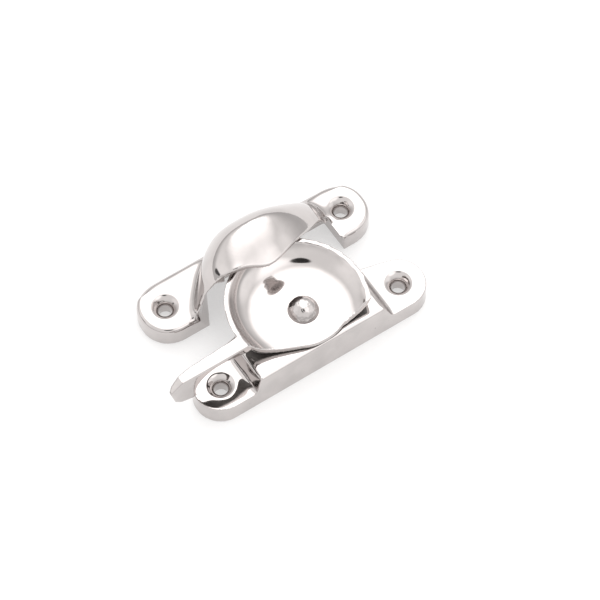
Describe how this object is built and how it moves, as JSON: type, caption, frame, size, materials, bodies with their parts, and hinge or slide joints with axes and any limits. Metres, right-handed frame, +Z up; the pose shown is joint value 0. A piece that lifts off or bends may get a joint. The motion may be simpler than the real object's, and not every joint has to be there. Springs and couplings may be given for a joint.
{
  "type": "sash window fastener",
  "caption": "Two-piece cam fastener for sliding sash windows: a cup with a thumb lever turns on a screwed base plate and hooks under the hood of a separate keep.",
  "frame": {"origin": "midpoint of the lock base's two screw holes, on its mounting face", "axes": "+X along both plates away from the lever's tip, +Y from the lock base towards the keep, +Z up off the sash rail"},
  "size_m": [0.0772, 0.0433, 0.0251],
  "materials": {
    "base_chrome": "polished chrome plate on cast brass",
    "cam_chrome": "polished chrome plate on cast brass",
    "keep_chrome": "polished chrome plate on cast brass",
    "rivet_chrome": "chrome plate, slightly textured dome",
    "spring_steel": "plain spring steel",
    "washer_steel": "plain bright steel"
  },
  "bodies": {
    "base": {"lock_base": "base_chrome"},
    "cam": {"cam_lever": "cam_chrome", "pivot_rivet": "rivet_chrome", "spring_washer": "spring_steel", "backing_washer": "washer_steel"},
    "keeper": {"keep": "keep_chrome"}
  },
  "joints": [
    {"name": "cam_turn", "type": "hinge", "parent": "base", "child": "cam", "pos_m": [0, 0.0034, 0.0085], "axis": [0, 0, 1], "range_deg": [0, 180]},
    {"name": "sash_slide", "type": "slide", "parent": "base", "child": "keeper", "axis": [0, 0, 1], "range_m": [0, 0.03]}
  ]
}
